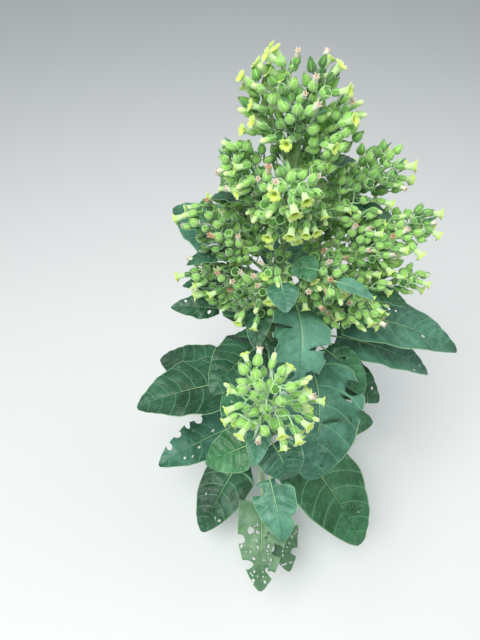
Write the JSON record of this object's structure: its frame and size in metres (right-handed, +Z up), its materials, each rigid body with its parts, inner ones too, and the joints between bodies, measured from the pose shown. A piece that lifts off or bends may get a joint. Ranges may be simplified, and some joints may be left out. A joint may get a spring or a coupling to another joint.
{
  "type": "tobacco plant",
  "caption": "Tobacco plant about 1 m tall, rooted at a flat cut: upright stem, low side shoot, drooping oval leaves and a dense branching flower head in flower and fruit.",
  "frame": {"origin": "middle of the flat cut under the main stem, at ground level", "axes": "+Z up along the main stem, -Y towards the side of the plant where the low side shoot leans out, +X to the right seen from there"},
  "size_m": [0.5555, 0.6168, 1.0038],
  "materials": {
    "stem": "green and finely hairy, soft sheen",
    "leaf": "blue-green, dull, dusty bloom with pale yellow-green veins",
    "flowers": "light green cups and capsules with greenish-yellow flowers"
  },
  "bodies": {
    "root": {"branch_back_left": "stem", "branch_back_right": "stem", "branch_front": "stem", "branch_front_left": "stem", "branch_front_low": "stem", "branch_front_right": "stem", "branch_left": "stem", "branch_left_low": "stem", "branch_right": "stem", "branch_right_low": "stem", "branch_right_upper": "stem", "branch_top_left": "stem", "branch_upper_back": "stem", "branch_upper_front": "stem", "branch_upper_left": "stem", "branch_upper_right": "stem", "flowers_back_left": "flowers", "flowers_back_right": "flowers", "flowers_front": "flowers", "flowers_front_left": "flowers", "flowers_front_low": "flowers", "flowers_front_right": "flowers", "flowers_left": "flowers", "flowers_left_low": "flowers", "flowers_right": "flowers", "flowers_right_low": "flowers", "flowers_right_upper": "flowers", "flowers_shoot": "flowers", "flowers_top": "flowers", "flowers_top_left": "flowers", "flowers_upper_back": "flowers", "flowers_upper_front": "flowers", "flowers_upper_left": "flowers", "flowers_upper_right": "flowers", "leaf_back_left_upper": "leaf", "leaf_back_lower": "leaf", "leaf_back_middle": "leaf", "leaf_back_upper": "leaf", "leaf_front_left_low": "leaf", "leaf_front_middle": "leaf", "leaf_front_right_low": "leaf", "leaf_front_right_middle": "leaf", "leaf_front_right_upper": "leaf", "leaf_front_upper": "leaf", "leaf_left_back": "leaf", "leaf_left_broad": "leaf", "leaf_left_low": "leaf", "leaf_left_middle": "leaf", "leaf_left_upper": "leaf", "leaf_right_back": "leaf", "leaf_right_low": "leaf", "leaf_right_middle": "leaf", "leaf_right_upper": "leaf", "leaf_shoot_foot": "leaf", "leaf_shoot_front": "leaf", "leaf_shoot_left": "leaf", "leaf_shoot_low": "leaf", "leaf_shoot_right": "leaf", "main_stem": "stem", "side_shoot": "stem"}
  },
  "joints": []
}
